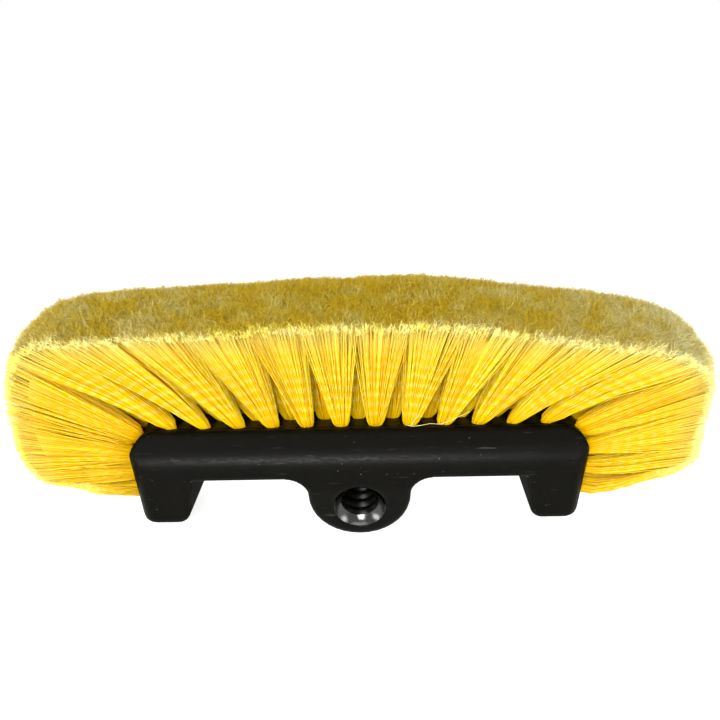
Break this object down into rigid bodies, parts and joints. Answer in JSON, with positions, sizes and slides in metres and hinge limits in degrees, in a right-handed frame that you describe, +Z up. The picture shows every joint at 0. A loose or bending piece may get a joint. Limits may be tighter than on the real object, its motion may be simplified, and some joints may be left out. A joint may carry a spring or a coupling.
{
  "type": "car wash brush head",
  "caption": "Car wash brush head: black moulded block on two legs, slanted socket for a screw-in pole, and soft yellow tufts fanned over the top and both ends.",
  "frame": {"origin": "centre of the bounding box in plan, at the height of the lowest edge, which is the boss's", "axes": "+X along the brush towards the picture's right end, +Y away from the pole socket's mouth, +Z up, the way the middle bristles point"},
  "size_m": [0.3042, 0.1036, 0.1047],
  "materials": {
    "block": "black satin moulded plastic with light scratches and dust",
    "bristles": "saturated yellow plastic filament, split to soft pale tips"
  },
  "bodies": {
    "root": {"block": "block", "tufts_middle": "bristles", "tufts_right_top_1": "bristles", "tufts_right_top_2": "bristles", "tufts_right_top_3": "bristles", "tufts_right_top_4": "bristles", "tufts_right_top_5": "bristles", "tufts_right_top_6": "bristles", "tufts_right_end_1": "bristles", "tufts_right_end_2": "bristles", "tufts_right_end_3": "bristles", "tufts_right_end_4": "bristles", "tufts_right_end_5": "bristles", "tufts_left_top_1": "bristles", "tufts_left_top_2": "bristles", "tufts_left_top_3": "bristles", "tufts_left_top_4": "bristles", "tufts_left_top_5": "bristles", "tufts_left_top_6": "bristles", "tufts_left_end_1": "bristles", "tufts_left_end_2": "bristles", "tufts_left_end_3": "bristles", "tufts_left_end_4": "bristles", "tufts_left_end_5": "bristles"}
  },
  "joints": []
}
